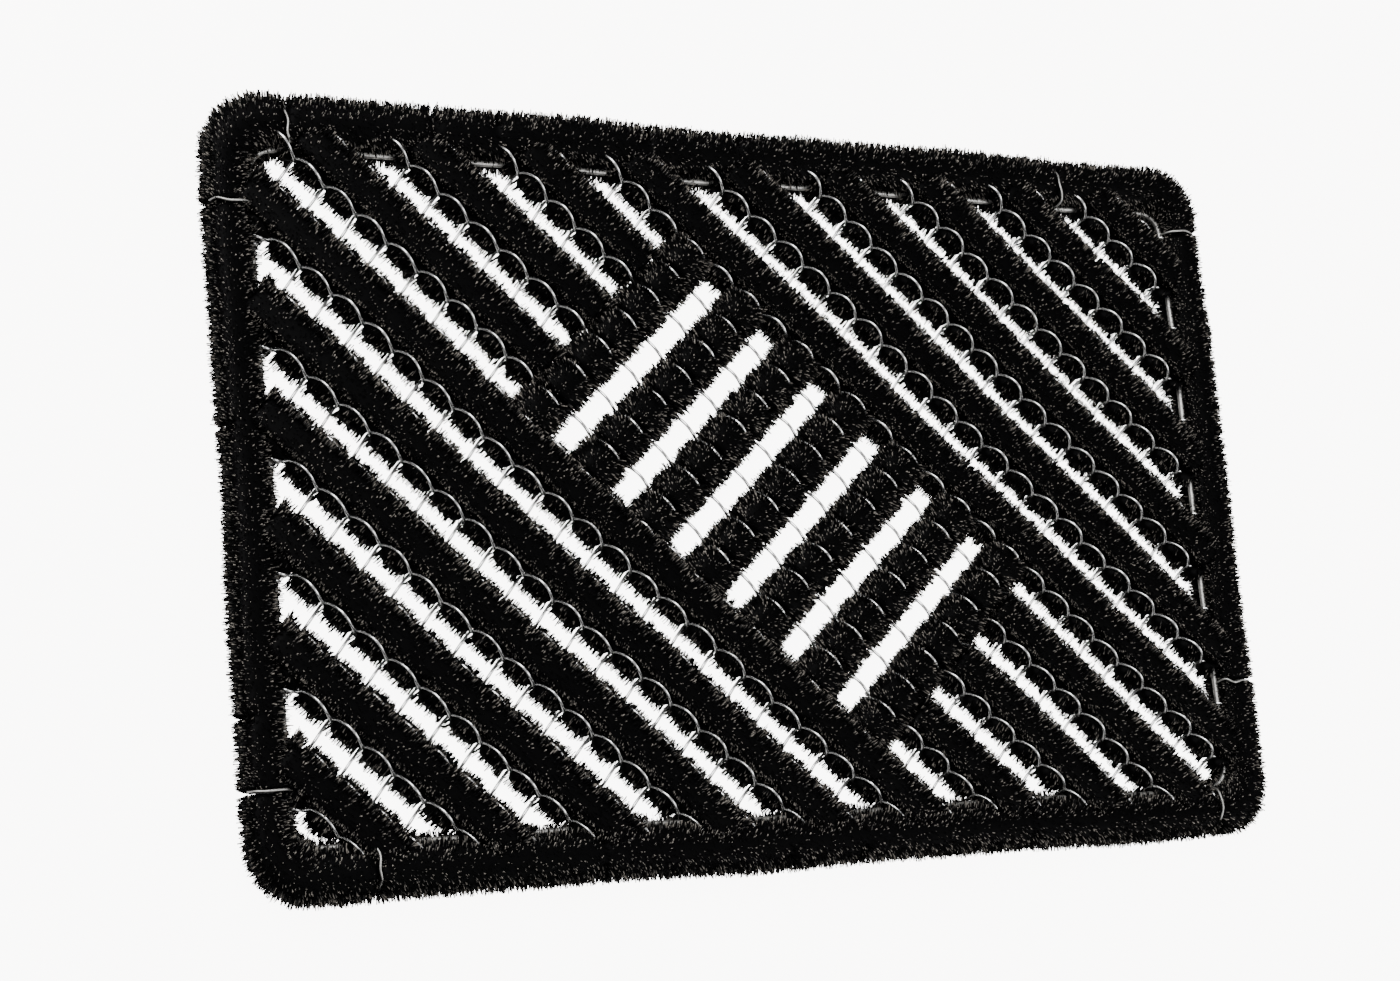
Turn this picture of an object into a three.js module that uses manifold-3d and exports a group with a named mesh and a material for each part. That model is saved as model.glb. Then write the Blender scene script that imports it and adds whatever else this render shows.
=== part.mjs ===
// A door mat of bristle bundles held in a mesh of steel wire coils, with a steel rod frame
// and a brush border. Millimetres, +Z up. X runs along the long side and Y along the short
// side. The origin is the middle of the underside, and the mat lies flat on Z = 0.

import * as THREE from "three";
import { mergeVertices } from "three/addons/utils/BufferGeometryUtils.js";
import Module from "manifold-3d";

// Overall size
const LENGTH = 600;
const WIDTH = 400;
const THICKNESS = 22;
const MIDDLE_Z = THICKNESS / 2;
const OUTER_CORNER_RADIUS = 30;

// Wire mesh: each coil makes one full turn in two half pitches, and rows are one pitch apart
const HALF_PITCH = 14.85;
const ROW_PITCH = 13.95;
const COIL_COUNT = 26;
const COIL_HALF_WIDTH = 8.25;
const COIL_HALF_HEIGHT = 9;
const WIRE_DIAMETER = 1.5;
const WIRE_SIDES = 3;
const MESH_HALF_COLUMNS = 18;

// Frame rod: a rounded rectangle through the mesh's first and last coils
const ROD_DIAMETER = 3.5;
const ROD_HALF_LENGTH = 276;
const ROD_HALF_WIDTH = 172;
const ROD_CORNER_RADIUS = 13;
const ROD_CHAMFER = 1;
const HOOK_RADIUS = 3.8;

// Brush strips: a bar on one side of the mesh and a row of tufts on the other
const BAR_WAIST = 7.5;
const BAR_FLARE = 8;
const TUFT_FLARE = 12;
const WIRE_SLOT = 4;
const STRIP_CLEARANCE = 0.5;
const STRIP_LIMIT_X = 265.5;
const STRIP_LIMIT_Y = 169.9;

// Where the strips lie, counted in mesh cells from the middle of the mat
const LAST_DIAGONAL = 14;
const FIRST_FULL_DIAGONAL = 4;
const PANEL_HALF_CELLS = 6;
const CELLS_ALONG_X = 18;
const CELLS_ALONG_Y = 12;

// Brush border: inner edge, and the partings that divide it into bundles
const BORDER_INNER_X = 281.2;
const BORDER_INNER_Y = 183.6;
const BORDER_INNER_RADIUS = 12;
const PARTING_INNER = 0.8;
const PARTING_OUTER = 3;
const NICK_DEPTH = 11;
const FAR_PARTINGS = [-258, 200];
const FAR_NICKS = [-180.7, -146.7, -61.7, -10, 65, 155];
const NEAR_PARTINGS = [-236.7, 263.3];
const NEAR_NICKS = [-120, -16.7, 28.3, 136.7];
const LEFT_PARTINGS = [-145, 141.7];
const LEFT_NICKS = [-110, 31.7];
const RIGHT_PARTINGS = [-110, 158.3];
const RIGHT_NICKS = [35];

const steel = { color: 0x9fa1a3, roughness: 0.38, metalness: 1 };
const rodSteel = { color: 0x7f7f7b, roughness: 0.5, metalness: 1 };
const bristle = { color: 0x0d0e11, roughness: 0.7, metalness: 0 };

const wasm = await Module();
wasm.setup();

const mat = new THREE.Group();

function addMesh(name, geometry, look) {
  const mesh = new THREE.Mesh(geometry, new THREE.MeshStandardMaterial(look));
  mesh.name = name;
  mesh.position.z = MIDDLE_Z;
  mat.add(mesh);
}

// Turns a closed geometry into a solid that can be joined and cut, and back again
function toSolid(geometry) {
  const bare = geometry.clone();
  bare.deleteAttribute("normal");
  bare.deleteAttribute("uv");
  const welded = mergeVertices(bare, 1e-4);
  const vertProperties = new Float32Array(welded.attributes.position.array);
  const triVerts = new Uint32Array(welded.index.array);
  return new wasm.Manifold(new wasm.Mesh({ numProp: 3, vertProperties, triVerts }));
}

function toGeometry(solid) {
  const mesh = solid.getMesh();
  const geometry = new THREE.BufferGeometry();
  geometry.setAttribute("position", new THREE.BufferAttribute(mesh.vertProperties, 3));
  geometry.setIndex(new THREE.BufferAttribute(mesh.triVerts, 1));
  return geometry;
}

// A wire's path: straight lengths from point to point, mitred at each bend
class WirePath extends THREE.Curve {
  constructor(points) {
    super();
    this.points = points;
  }

  getPoint(t) {
    const last = this.points.length - 1;
    const index = Math.round(t * last);
    return this.points[index].clone();
  }

  getPointAt(t) {
    return this.getPoint(t);
  }

  getTangentAt(t) {
    const last = this.points.length - 1;
    const index = Math.round(t * last);
    const here = this.points[index];
    const tangent = new THREE.Vector3();
    if (index > 0) {
      tangent.add(here.clone().sub(this.points[index - 1]).normalize());
    }
    if (index < last) {
      tangent.add(this.points[index + 1].clone().sub(here).normalize());
    }
    return tangent.normalize();
  }
}

function wireGeometry(points) {
  const section = new THREE.Shape();
  for (let side = 0; side < WIRE_SIDES; side += 1) {
    const angle = (side * 2 * Math.PI) / WIRE_SIDES;
    const x = (WIRE_DIAMETER / 2) * Math.cos(angle);
    const y = (WIRE_DIAMETER / 2) * Math.sin(angle);
    if (side === 0) {
      section.moveTo(x, y);
    } else {
      section.lineTo(x, y);
    }
  }
  return new THREE.ExtrudeGeometry(section, {
    steps: points.length - 1,
    extrudePath: new WirePath(points),
  });
}

// The end of a coil, listed outwards from its last bend. It passes the rod on one side
// and hooks round it to the other. The first and last coils hold the rod along their
// whole length, so they end in a short tail.
function coilEnd(end, axisY, crest, hooked) {
  const bendX = end * MESH_HALF_COLUMNS * HALF_PITCH;
  const side = end * crest;
  if (!hooked) {
    return [new THREE.Vector3(bendX + end * 1.5, axisY + crest * 7, side * 3.5)];
  }
  const rodX = end * ROD_HALF_LENGTH;
  return [
    new THREE.Vector3(rodX - end * 3.6, axisY + crest * 6.6, side * 4.2),
    new THREE.Vector3(rodX + end * 0.5, axisY + crest * 5.4, side * HOOK_RADIUS),
    new THREE.Vector3(rodX + end * HOOK_RADIUS, axisY + crest * 4.6, 0),
    new THREE.Vector3(rodX + end * 0.5, axisY + crest * 4, -side * HOOK_RADIUS),
  ];
}

// One coil of the mesh: crests hook into the row above it and troughs into the row below
function coilPoints(row) {
  const axisY = ((COIL_COUNT - 1) / 2 - row) * ROW_PITCH;
  const crest = row % 2 === 0 ? 1 : -1;
  const hooked = row > 0 && row < COIL_COUNT - 1;
  const points = coilEnd(-1, axisY, crest, hooked).reverse();
  for (let half = -MESH_HALF_COLUMNS * 2; half <= MESH_HALF_COLUMNS * 2; half += 1) {
    const turn = (half * Math.PI) / 2;
    const y = axisY + crest * COIL_HALF_WIDTH * Math.cos(turn);
    const z = crest * COIL_HALF_HEIGHT * Math.sin(turn);
    points.push(new THREE.Vector3((half * HALF_PITCH) / 2, y, z));
  }
  return points.concat(coilEnd(1, axisY, crest, hooked));
}

// Strip directions: a diagonal falls towards +X, and a cross strip rises towards +X
const CELL = Math.hypot(HALF_PITCH, ROW_PITCH);
const fall = new THREE.Vector3(HALF_PITCH / CELL, -ROW_PITCH / CELL, 0);
const rise = new THREE.Vector3(HALF_PITCH / CELL, ROW_PITCH / CELL, 0);
const up = new THREE.Vector3(0, 0, 1);
const clipBox = toSolid(new THREE.BoxGeometry(2 * STRIP_LIMIT_X, 2 * STRIP_LIMIT_Y, 40));

// One brush strip, from cell boundary `from` to `to` along its own direction. The bar lies
// on one side of the mesh (barSide 1 is above), and on the other side every wire that
// crosses has a slot between two tufts.
function stripGeometry(along, across, offset, from, to, barSide) {
  const section = new THREE.Shape();
  section.moveTo(-BAR_WAIST, 0);
  section.lineTo(-TUFT_FLARE, -MIDDLE_Z);
  section.lineTo(TUFT_FLARE, -MIDDLE_Z);
  section.lineTo(BAR_WAIST, 0);
  section.lineTo(BAR_FLARE, MIDDLE_Z);
  section.lineTo(-BAR_FLARE, MIDDLE_Z);
  section.closePath();
  const bar = new THREE.ExtrudeGeometry(section, {
    depth: (to - from) * CELL,
    bevelEnabled: false,
  });
  // The section's own X runs across the strip, its Y up, and its depth along the strip
  bar.rotateX(Math.PI / 2);
  bar.rotateZ(Math.PI / 2);
  bar.translate(from * CELL, 0, 0);
  let strip = toSolid(bar);
  for (let cell = Math.ceil(from - 0.5) + 0.5; cell < to; cell += 1) {
    if (cell > from + 0.01 && cell < to - 0.01) {
      const slot = new THREE.BoxGeometry(WIRE_SLOT, 4 * TUFT_FLARE, 2 * MIDDLE_Z);
      slot.translate(cell * CELL, 0, -MIDDLE_Z);
      strip = strip.subtract(toSolid(slot));
    }
  }
  const placed = toGeometry(strip);
  if (barSide < 0) {
    placed.rotateX(Math.PI);
  }
  const lattice = new THREE.Matrix4().makeBasis(along, across, up);
  placed.applyMatrix4(lattice);
  placed.translate(across.x * offset * CELL, across.y * offset * CELL, 0);
  return toGeometry(toSolid(placed).intersect(clipBox));
}

function diagonalStrip(row, from, to) {
  return stripGeometry(fall, rise, row, from, to, 1);
}

function crossStrip(row, from, to) {
  const back = fall.clone().negate();
  return stripGeometry(rise, back, -row, from, to, -1);
}

// A rounded rectangle round the origin
function roundedRectangle(path, halfX, halfY, radius) {
  path.moveTo(halfX, -halfY + radius);
  path.lineTo(halfX, halfY - radius);
  path.absarc(halfX - radius, halfY - radius, radius, 0, Math.PI / 2, false);
  path.lineTo(-halfX + radius, halfY);
  path.absarc(-halfX + radius, halfY - radius, radius, Math.PI / 2, Math.PI, false);
  path.lineTo(-halfX, -halfY + radius);
  path.absarc(-halfX + radius, -halfY + radius, radius, Math.PI, 1.5 * Math.PI, false);
  path.lineTo(halfX - radius, -halfY);
  path.absarc(halfX - radius, -halfY + radius, radius, 1.5 * Math.PI, 2 * Math.PI, false);
  return path;
}

function rodGeometry() {
  const reach = ROD_DIAMETER / 2 - ROD_CHAMFER;
  const ring = roundedRectangle(
    new THREE.Shape(),
    ROD_HALF_LENGTH + reach,
    ROD_HALF_WIDTH + reach,
    ROD_CORNER_RADIUS + reach,
  );
  const inside = roundedRectangle(
    new THREE.Path(),
    ROD_HALF_LENGTH - reach,
    ROD_HALF_WIDTH - reach,
    ROD_CORNER_RADIUS - reach,
  );
  ring.holes.push(inside);
  const rod = new THREE.ExtrudeGeometry(ring, {
    depth: 2 * reach,
    curveSegments: 4,
    bevelSize: ROD_CHAMFER,
    bevelThickness: ROD_CHAMFER,
    bevelSegments: 1,
  });
  rod.translate(0, 0, -reach);
  return rod;
}

// A wedge between two bundles of the border. `place` is where it stands along its side,
// and the side is named by the direction it faces.
function partingWedge(facing, place, innerHalf, outerHalf, innerReach) {
  const outerReach = facing.x !== 0 ? LENGTH / 2 + 5 : WIDTH / 2 + 5;
  const wedge = new THREE.Shape();
  wedge.moveTo(innerReach, -innerHalf);
  wedge.lineTo(outerReach, -outerHalf);
  wedge.lineTo(outerReach, outerHalf);
  wedge.lineTo(innerReach, innerHalf);
  wedge.closePath();
  const cut = new THREE.ExtrudeGeometry(wedge, { depth: 60, bevelEnabled: false });
  cut.translate(0, 0, -30);
  cut.rotateZ(Math.atan2(facing.y, facing.x));
  cut.translate(facing.y !== 0 ? place : 0, facing.x !== 0 ? place : 0, 0);
  return toSolid(cut);
}

const FAR = { x: 0, y: 1 };
const NEAR = { x: 0, y: -1 };
const LEFT = { x: -1, y: 0 };
const RIGHT = { x: 1, y: 0 };

function borderRing() {
  const outline = roundedRectangle(
    new THREE.Shape(),
    LENGTH / 2,
    WIDTH / 2,
    OUTER_CORNER_RADIUS,
  );
  const inside = roundedRectangle(
    new THREE.Path(),
    BORDER_INNER_X,
    BORDER_INNER_Y,
    BORDER_INNER_RADIUS,
  );
  outline.holes.push(inside);
  const ring = new THREE.ExtrudeGeometry(outline, {
    depth: THICKNESS,
    curveSegments: 6,
    bevelEnabled: false,
  });
  ring.translate(0, 0, -MIDDLE_Z);
  let solid = toSolid(ring);
  const partings = [
    [FAR, FAR_PARTINGS, FAR_NICKS],
    [NEAR, NEAR_PARTINGS, NEAR_NICKS],
    [LEFT, LEFT_PARTINGS, LEFT_NICKS],
    [RIGHT, RIGHT_PARTINGS, RIGHT_NICKS],
  ];
  for (const [facing, cuts, nicks] of partings) {
    const edge = facing.x !== 0 ? LENGTH / 2 : WIDTH / 2;
    for (const place of cuts) {
      const wedge = partingWedge(facing, place, PARTING_INNER / 2, PARTING_OUTER / 2, edge - 30);
      solid = solid.subtract(wedge);
    }
    for (const place of nicks) {
      const wedge = partingWedge(facing, place, 0.2, PARTING_OUTER / 2, edge - NICK_DEPTH);
      solid = solid.subtract(wedge);
    }
  }
  return solid;
}

// Cuts one bundle out of the divided border: the part inside a box from one parting to
// the next
function borderBundle(ring, lowX, highX, lowY, highY) {
  const box = new THREE.BoxGeometry(highX - lowX, highY - lowY, 60);
  box.translate((lowX + highX) / 2, (lowY + highY) / 2, 0);
  return toGeometry(ring.intersect(toSolid(box)));
}

// Coils, from the far long side to the near one
for (let row = 0; row < COIL_COUNT; row += 1) {
  const number = String(row + 1).padStart(2, "0");
  addMesh(`coil_${number}`, wireGeometry(coilPoints(row)), steel);
}

addMesh("frame_rod", rodGeometry(), rodSteel);

// Diagonal strips lie on every second row of cells, counted from the near left corner. The
// three middle ones stop at the centre panel.
const GAP_TO_PANEL = (TUFT_FLARE + STRIP_CLEARANCE) / CELL;
const END_REACH = 0.5 - WIRE_SLOT / 2 / CELL;
let stripNumber = 1;
for (let row = -LAST_DIAGONAL; row <= LAST_DIAGONAL; row += 2) {
  const name = `brush_diagonal_${String(stripNumber).padStart(2, "0")}`;
  const first = Math.max(-CELLS_ALONG_X - row, row - CELLS_ALONG_Y) - END_REACH;
  const last = Math.min(CELLS_ALONG_X - row, row + CELLS_ALONG_Y) + END_REACH;
  if (Math.abs(row) >= FIRST_FULL_DIAGONAL) {
    addMesh(name, diagonalStrip(row, first, last), bristle);
  } else {
    const panelEdge = PANEL_HALF_CELLS + GAP_TO_PANEL;
    addMesh(`${name}_far`, diagonalStrip(row, first, -panelEdge), bristle);
    addMesh(`${name}_near`, diagonalStrip(row, panelEdge, last), bristle);
  }
  stripNumber += 1;
}

// Cross strips fill the centre panel
let crossNumber = 1;
for (let row = -PANEL_HALF_CELLS; row <= PANEL_HALF_CELLS; row += 2) {
  const reach = FIRST_FULL_DIAGONAL - GAP_TO_PANEL;
  addMesh(`brush_cross_${crossNumber}`, crossStrip(row, -reach, reach), bristle);
  crossNumber += 1;
}

// Border bundles: four corners and four sides
const ring = borderRing();
const EDGE_X = LENGTH / 2 + 1;
const EDGE_Y = WIDTH / 2 + 1;
const INNER_X = BORDER_INNER_X - 1;
const INNER_Y = BORDER_INNER_Y - 1;
const borderBundles = [
  ["border_far", FAR_PARTINGS[0], FAR_PARTINGS[1], INNER_Y, EDGE_Y],
  ["border_near", NEAR_PARTINGS[0], NEAR_PARTINGS[1], -EDGE_Y, -INNER_Y],
  ["border_left", -EDGE_X, -INNER_X, LEFT_PARTINGS[0], LEFT_PARTINGS[1]],
  ["border_right", INNER_X, EDGE_X, RIGHT_PARTINGS[0], RIGHT_PARTINGS[1]],
  ["border_corner_far_left", -EDGE_X, FAR_PARTINGS[0], LEFT_PARTINGS[1], EDGE_Y],
  ["border_corner_far_right", FAR_PARTINGS[1], EDGE_X, RIGHT_PARTINGS[1], EDGE_Y],
  ["border_corner_near_left", -EDGE_X, NEAR_PARTINGS[0], -EDGE_Y, LEFT_PARTINGS[0]],
  ["border_corner_near_right", NEAR_PARTINGS[1], EDGE_X, -EDGE_Y, RIGHT_PARTINGS[0]],
];
for (const [name, lowX, highX, lowY, highY] of borderBundles) {
  addMesh(name, borderBundle(ring, lowX, highX, lowY, highY), bristle);
}

export default mat;
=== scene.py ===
import math

import bpy
import numpy as np
from mathutils import Matrix, Vector


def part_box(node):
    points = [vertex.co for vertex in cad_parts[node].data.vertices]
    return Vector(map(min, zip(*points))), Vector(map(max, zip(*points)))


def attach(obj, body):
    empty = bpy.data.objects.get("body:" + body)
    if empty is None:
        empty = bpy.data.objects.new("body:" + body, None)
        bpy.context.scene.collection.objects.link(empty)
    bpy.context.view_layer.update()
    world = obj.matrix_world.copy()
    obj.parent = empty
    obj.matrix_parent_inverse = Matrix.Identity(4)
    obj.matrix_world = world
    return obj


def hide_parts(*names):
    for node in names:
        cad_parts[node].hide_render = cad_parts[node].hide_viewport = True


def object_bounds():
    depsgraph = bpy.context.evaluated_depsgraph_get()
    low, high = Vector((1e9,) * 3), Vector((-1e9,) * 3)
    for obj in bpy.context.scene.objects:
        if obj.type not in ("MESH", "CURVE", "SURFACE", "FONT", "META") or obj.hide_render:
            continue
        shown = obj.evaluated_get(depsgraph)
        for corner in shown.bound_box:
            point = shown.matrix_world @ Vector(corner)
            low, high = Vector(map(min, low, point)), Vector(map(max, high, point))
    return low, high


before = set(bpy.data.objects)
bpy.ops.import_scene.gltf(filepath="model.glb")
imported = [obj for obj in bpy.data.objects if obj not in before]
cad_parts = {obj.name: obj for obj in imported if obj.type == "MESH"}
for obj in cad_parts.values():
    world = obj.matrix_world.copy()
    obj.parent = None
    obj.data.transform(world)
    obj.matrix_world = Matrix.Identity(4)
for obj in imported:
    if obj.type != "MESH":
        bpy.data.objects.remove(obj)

# The visual model of the door mat: smooth round wires, and bristles one by one. Shapes are
# worked out in millimetres from the middle of the mat's thickness, and placed in metres.
CAD_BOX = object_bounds()
MM = 0.001
rng = np.random.default_rng(20)

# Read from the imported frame
cad_low, cad_high = (np.array(corner) / MM for corner in CAD_BOX)
rod_low, rod_high = (np.array(corner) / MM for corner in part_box("frame_rod"))
MIDDLE_Z = (rod_low[2] + rod_high[2]) / 2
ROD_RADIUS = (rod_high[2] - rod_low[2]) / 2
ROD_X = rod_high[0] - ROD_RADIUS
ROD_Y = rod_high[1] - ROD_RADIUS
OUTER_X = cad_high[0]
OUTER_Y = cad_high[1]
HALF_HEIGHT = (cad_high[2] - cad_low[2]) / 2

# The mesh's lattice, as in the CAD source. PANEL_I and PANEL_J are the centre panel's half
# sizes, counted in cells across and along the diagonal strips.
HALF_PITCH = 14.85
ROW_PITCH = 13.95
COIL_COUNT = 26
HALF_COLUMNS = 18
CELLS_Y = 12
PANEL_I = 3.5
PANEL_J = 6.5
ROD_CORNER = 13.0
OUTER_CORNER = 30.0
CELL = math.hypot(HALF_PITCH, ROW_PITCH)
FALL = np.array([HALF_PITCH, -ROW_PITCH, 0.0]) / CELL
RISE = np.array([HALF_PITCH, ROW_PITCH, 0.0]) / CELL
UP = np.array([0.0, 0.0, 1.0])

# How high the wires arch, and how high an arch the bristle leaves room for
LEG_HEIGHT = 9.0


# How far the mesh strays from its lattice, in long waves and in short ones
DRIFT = 0.6
RIPPLE = 0.35


def warp(points):
    """The mat's slight unevenness: a slow sideways drift that every piece shares."""
    x, y = points[..., 0], points[..., 1]
    moved = points.copy()
    moved[..., 0] += DRIFT * np.sin(0.019 * x + 0.031 * y + 0.7) + RIPPLE * np.sin(0.061 * y + 2.1)
    moved[..., 1] += DRIFT * np.sin(0.027 * x - 0.017 * y + 1.9) + RIPPLE * np.sin(0.052 * x + 0.4)
    return moved


class Shell:
    """Gathers vertices and faces in millimetres, then makes one Blender object of them."""

    def __init__(self):
        self.points, self.shades, self.corners, self.sizes = [], [], [], []
        self.count = 0

    def add(self, points, faces, shades):
        """faces is a list of whole-number arrays, each one with faces of one size."""
        self.points.append(points.reshape(-1, 3))
        self.shades.append(np.broadcast_to(shades, points.shape[:-1]).reshape(-1))
        for group in faces:
            self.corners.append((group + self.count).reshape(-1))
            self.sizes.append(np.full(group.size // group.shape[-1], group.shape[-1]))
        self.count += self.points[-1].shape[0]

    def build(self, name, material):
        """Warps the points, trims them to the mat's thickness and makes the object."""
        points = warp(np.concatenate(self.points))
        points[:, 2] = np.clip(points[:, 2], -HALF_HEIGHT, HALF_HEIGHT) + MIDDLE_Z
        corners = np.concatenate(self.corners).astype(np.int32)
        sizes = np.concatenate(self.sizes)
        starts = np.concatenate([[0], np.cumsum(sizes)[:-1]]).astype(np.int32)
        mesh = bpy.data.meshes.new(name)
        mesh.vertices.add(len(points))
        mesh.vertices.foreach_set("co", (points * MM).astype(np.float32).ravel())
        mesh.loops.add(len(corners))
        mesh.loops.foreach_set("vertex_index", corners)
        mesh.polygons.add(len(sizes))
        mesh.polygons.foreach_set("loop_start", starts)
        mesh.update(calc_edges=True)
        mesh.validate()
        # Each vertex carries a tone that the bristle material reads: black, or a painted glint at a
        # bristle's tip.
        shade = mesh.attributes.new("shade", "FLOAT", "POINT")
        shade.data.foreach_set("value", np.concatenate(self.shades).astype(np.float32))
        mesh.shade_smooth()
        mesh.materials.append(material)
        piece = bpy.data.objects.new(name, mesh)
        bpy.context.scene.collection.objects.link(piece)
        return piece


# ---------------------------------------------------------------- materials


def new_material(name):
    material = bpy.data.materials.new(name)
    material.use_nodes = True
    tree = material.node_tree
    return material, tree, tree.nodes["Principled BSDF"]


def node(tree, kind, **settings):
    made = tree.nodes.new(kind)
    for key, value in settings.items():
        if key in made.inputs:
            made.inputs[key].default_value = value
        else:
            setattr(made, key, value)
    return made


def ramp(tree, source, stops):
    made = tree.nodes.new("ShaderNodeValToRGB")
    elements = made.color_ramp.elements
    while len(elements) < len(stops):
        elements.new(0.5)
    for element, (place, colour) in zip(elements, stops):
        element.position = place
        element.color = (*colour, 1.0)
    tree.links.new(source, made.inputs["Fac"])
    return made.outputs["Color"]


def object_noise(tree, scale, detail, roughness):
    coordinates = node(tree, "ShaderNodeTexCoord")
    noise = node(tree, "ShaderNodeTexNoise", Scale=scale, Detail=detail, Roughness=roughness)
    tree.links.new(coordinates.outputs["Object"], noise.inputs["Vector"])
    return noise.outputs["Fac"]


def bump(tree, source, strength, distance, shader):
    made = node(tree, "ShaderNodeBump", Strength=strength, Distance=distance)
    tree.links.new(source, made.inputs["Height"])
    tree.links.new(made.outputs["Normal"], shader.inputs["Normal"])


def fine_grain(tree, shader, scale, rough_low, rough_high, strength):
    """A grain that varies the roughness and stands in slight relief."""
    grain = object_noise(tree, scale, 2.0, 0.6)
    rough = node(tree, "ShaderNodeMapRange")
    rough.inputs["To Min"].default_value = rough_low
    rough.inputs["To Max"].default_value = rough_high
    tree.links.new(grain, rough.inputs["Value"])
    tree.links.new(rough.outputs["Result"], shader.inputs["Roughness"])
    bump(tree, grain, strength, 0.1 * MM, shader)


def steel_material(name, dark, light, rough_low, rough_high):
    material, tree, shader = new_material(name)
    shader.inputs["Metallic"].default_value = 1.0
    cloud = object_noise(tree, 420.0, 4.0, 0.65)
    colour = ramp(tree, cloud, [(0.32, dark), (0.62, light)])
    tree.links.new(colour, shader.inputs["Base Color"])
    fine_grain(tree, shader, 1500.0, rough_low, rough_high, 0.25)
    return material


# A bristle carries a tone: up to DULL_TO it is black, and from the next stop up it has a painted
# glint, a highlight painted into its colour
DULL_TO = 0.6
GLINT_FROM = 0.72


def bristle_material(name):
    material, tree, shader = new_material(name)
    shader.inputs["Specular IOR Level"].default_value = 0.03
    shade = node(tree, "ShaderNodeAttribute", attribute_name="shade")
    # The two upper stops are a painted glint: a bright brownish grey that stands in for light
    # caught on a bristle's tip.
    colour = ramp(
        tree,
        shade.outputs["Fac"],
        [
            (0.0, (0.0004, 0.0004, 0.0005)),
            (DULL_TO, (0.0020, 0.0020, 0.0021)),
            (GLINT_FROM, (0.030, 0.029, 0.028)),
            (1.0, (0.27, 0.245, 0.215)),
        ],
    )
    tree.links.new(colour, shader.inputs["Base Color"])
    fine_grain(tree, shader, 1800.0, 0.38, 0.62, 0.3)
    return material


# How strongly the backdrop glows to the camera, and towards the mat
GLOW_TO_CAMERA = 9.0
FLOOR_GLOW = 0.6
WORLD_GLOW = 0.45


def backdrop_glow(tree, on_the_mat, strength):
    """A backdrop lit on its own, as in a high-key studio: white to the camera, and only a
    little of its light reaches the mat. strength is the socket that it sets."""
    path = node(tree, "ShaderNodeLightPath")
    glow = node(tree, "ShaderNodeMapRange")
    glow.inputs["To Min"].default_value = on_the_mat
    glow.inputs["To Max"].default_value = GLOW_TO_CAMERA
    tree.links.new(path.outputs["Is Camera Ray"], glow.inputs["Value"])
    tree.links.new(glow.outputs["Result"], strength)


def floor_material():
    material, tree, shader = new_material("pale_floor")
    cloud = object_noise(tree, 2.0, 2.0, 0.5)
    colour = ramp(tree, cloud, [(0.3, (0.36, 0.358, 0.354)), (0.7, (0.40, 0.398, 0.396))])
    tree.links.new(colour, shader.inputs["Base Color"])
    shader.inputs["Roughness"].default_value = 0.8
    shader.inputs["Emission Color"].default_value = (1.0, 0.985, 0.965, 1.0)
    backdrop_glow(tree, FLOOR_GLOW, shader.inputs["Emission Strength"])
    return material


wire_steel = steel_material("wire_steel", (0.62, 0.62, 0.625), (0.86, 0.86, 0.85), 0.18, 0.34)
rod_steel = steel_material("rod_steel", (0.30, 0.295, 0.28), (0.52, 0.51, 0.49), 0.35, 0.6)
bristle = bristle_material("black_bristle")

# ---------------------------------------------------------------- wires

# A coil's legs run from side to side of its axis, LEG_REACH out, and arch up and down in
# turn, less far where they are slack. They bow sideways where they cross a gap or one of
# the centre panel's strips.
WIRE_RADIUS = 0.8
WIRE_SIDES = 8
STEPS_PER_LEG = 14
LEG_REACH = 8.15
SLACK_HEIGHT = 6.8
LAST_ROW_HEIGHT = 7.4
HEIGHT_SPREAD = 0.05
MOST_UNEVEN = 1.2
STRAIGHT_SHARE = 0.7
GAP_BOW = 1.5
PANEL_BOW = -1.2
BOW_SPREAD = 0.4
BOW_ALONG = 0.73
BOW_ACROSS = 0.69
BEND_SMOOTHING = np.array([1, 3, 4, 3, 1]) / 12

# Where a coil ends: at the rod with a hook, and in the first and last rows with a short tail
HOOK_CLEARANCE = 0.3
HOOK_STEPS = 5
TAIL_OUT = 1.5
TAIL_BACK = 0.8
TAIL_RISE = 3.5

ROD_SIDES = 14
ROD_CORNER_POINTS = 10
LONGEST_ROD_STEP = 12


def tube(shell, points, radius, sides, closed=False):
    """A round wire along a line of points. The steel materials make no use of the tone that the
    bristle material reads.
    """
    points = np.asarray(points, float)
    if closed:
        ahead, behind = np.roll(points, -1, 0), np.roll(points, 1, 0)
    else:
        ahead = np.concatenate([points[1:], points[-1:]])
        behind = np.concatenate([points[:1], points[:-1]])
    tangents = ahead - behind
    tangents /= np.linalg.norm(tangents, axis=1, keepdims=True)
    first = np.cross(tangents[0], UP if abs(tangents[0][2]) < 0.9 else RISE)
    first /= np.linalg.norm(first)
    normals = [first]
    for tangent in tangents[1:]:
        carried = normals[-1] - tangent * (normals[-1] @ tangent)
        normals.append(carried / np.linalg.norm(carried))
    normals = np.array(normals)
    sideways = np.cross(tangents, normals)
    angles = np.arange(sides) * 2 * math.pi / sides
    rings = (
        points[:, None]
        + radius * np.cos(angles)[None, :, None] * normals[:, None]
        + radius * np.sin(angles)[None, :, None] * sideways[:, None]
    )
    count = len(points)
    row = np.arange(count if closed else count - 1)
    a = row[:, None] * sides + np.arange(sides)[None]
    b = row[:, None] * sides + (np.arange(sides)[None] + 1) % sides
    c = (b + sides) % (count * sides)
    d = (a + sides) % (count * sides)
    faces = [np.stack([a, b, c, d], -1).reshape(-1, 4)]
    if not closed:
        faces.append(np.arange(sides)[::-1][None])
        faces.append((np.arange(sides) + (count - 1) * sides)[None])
    shell.add(rings, faces, 0.0)


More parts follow.
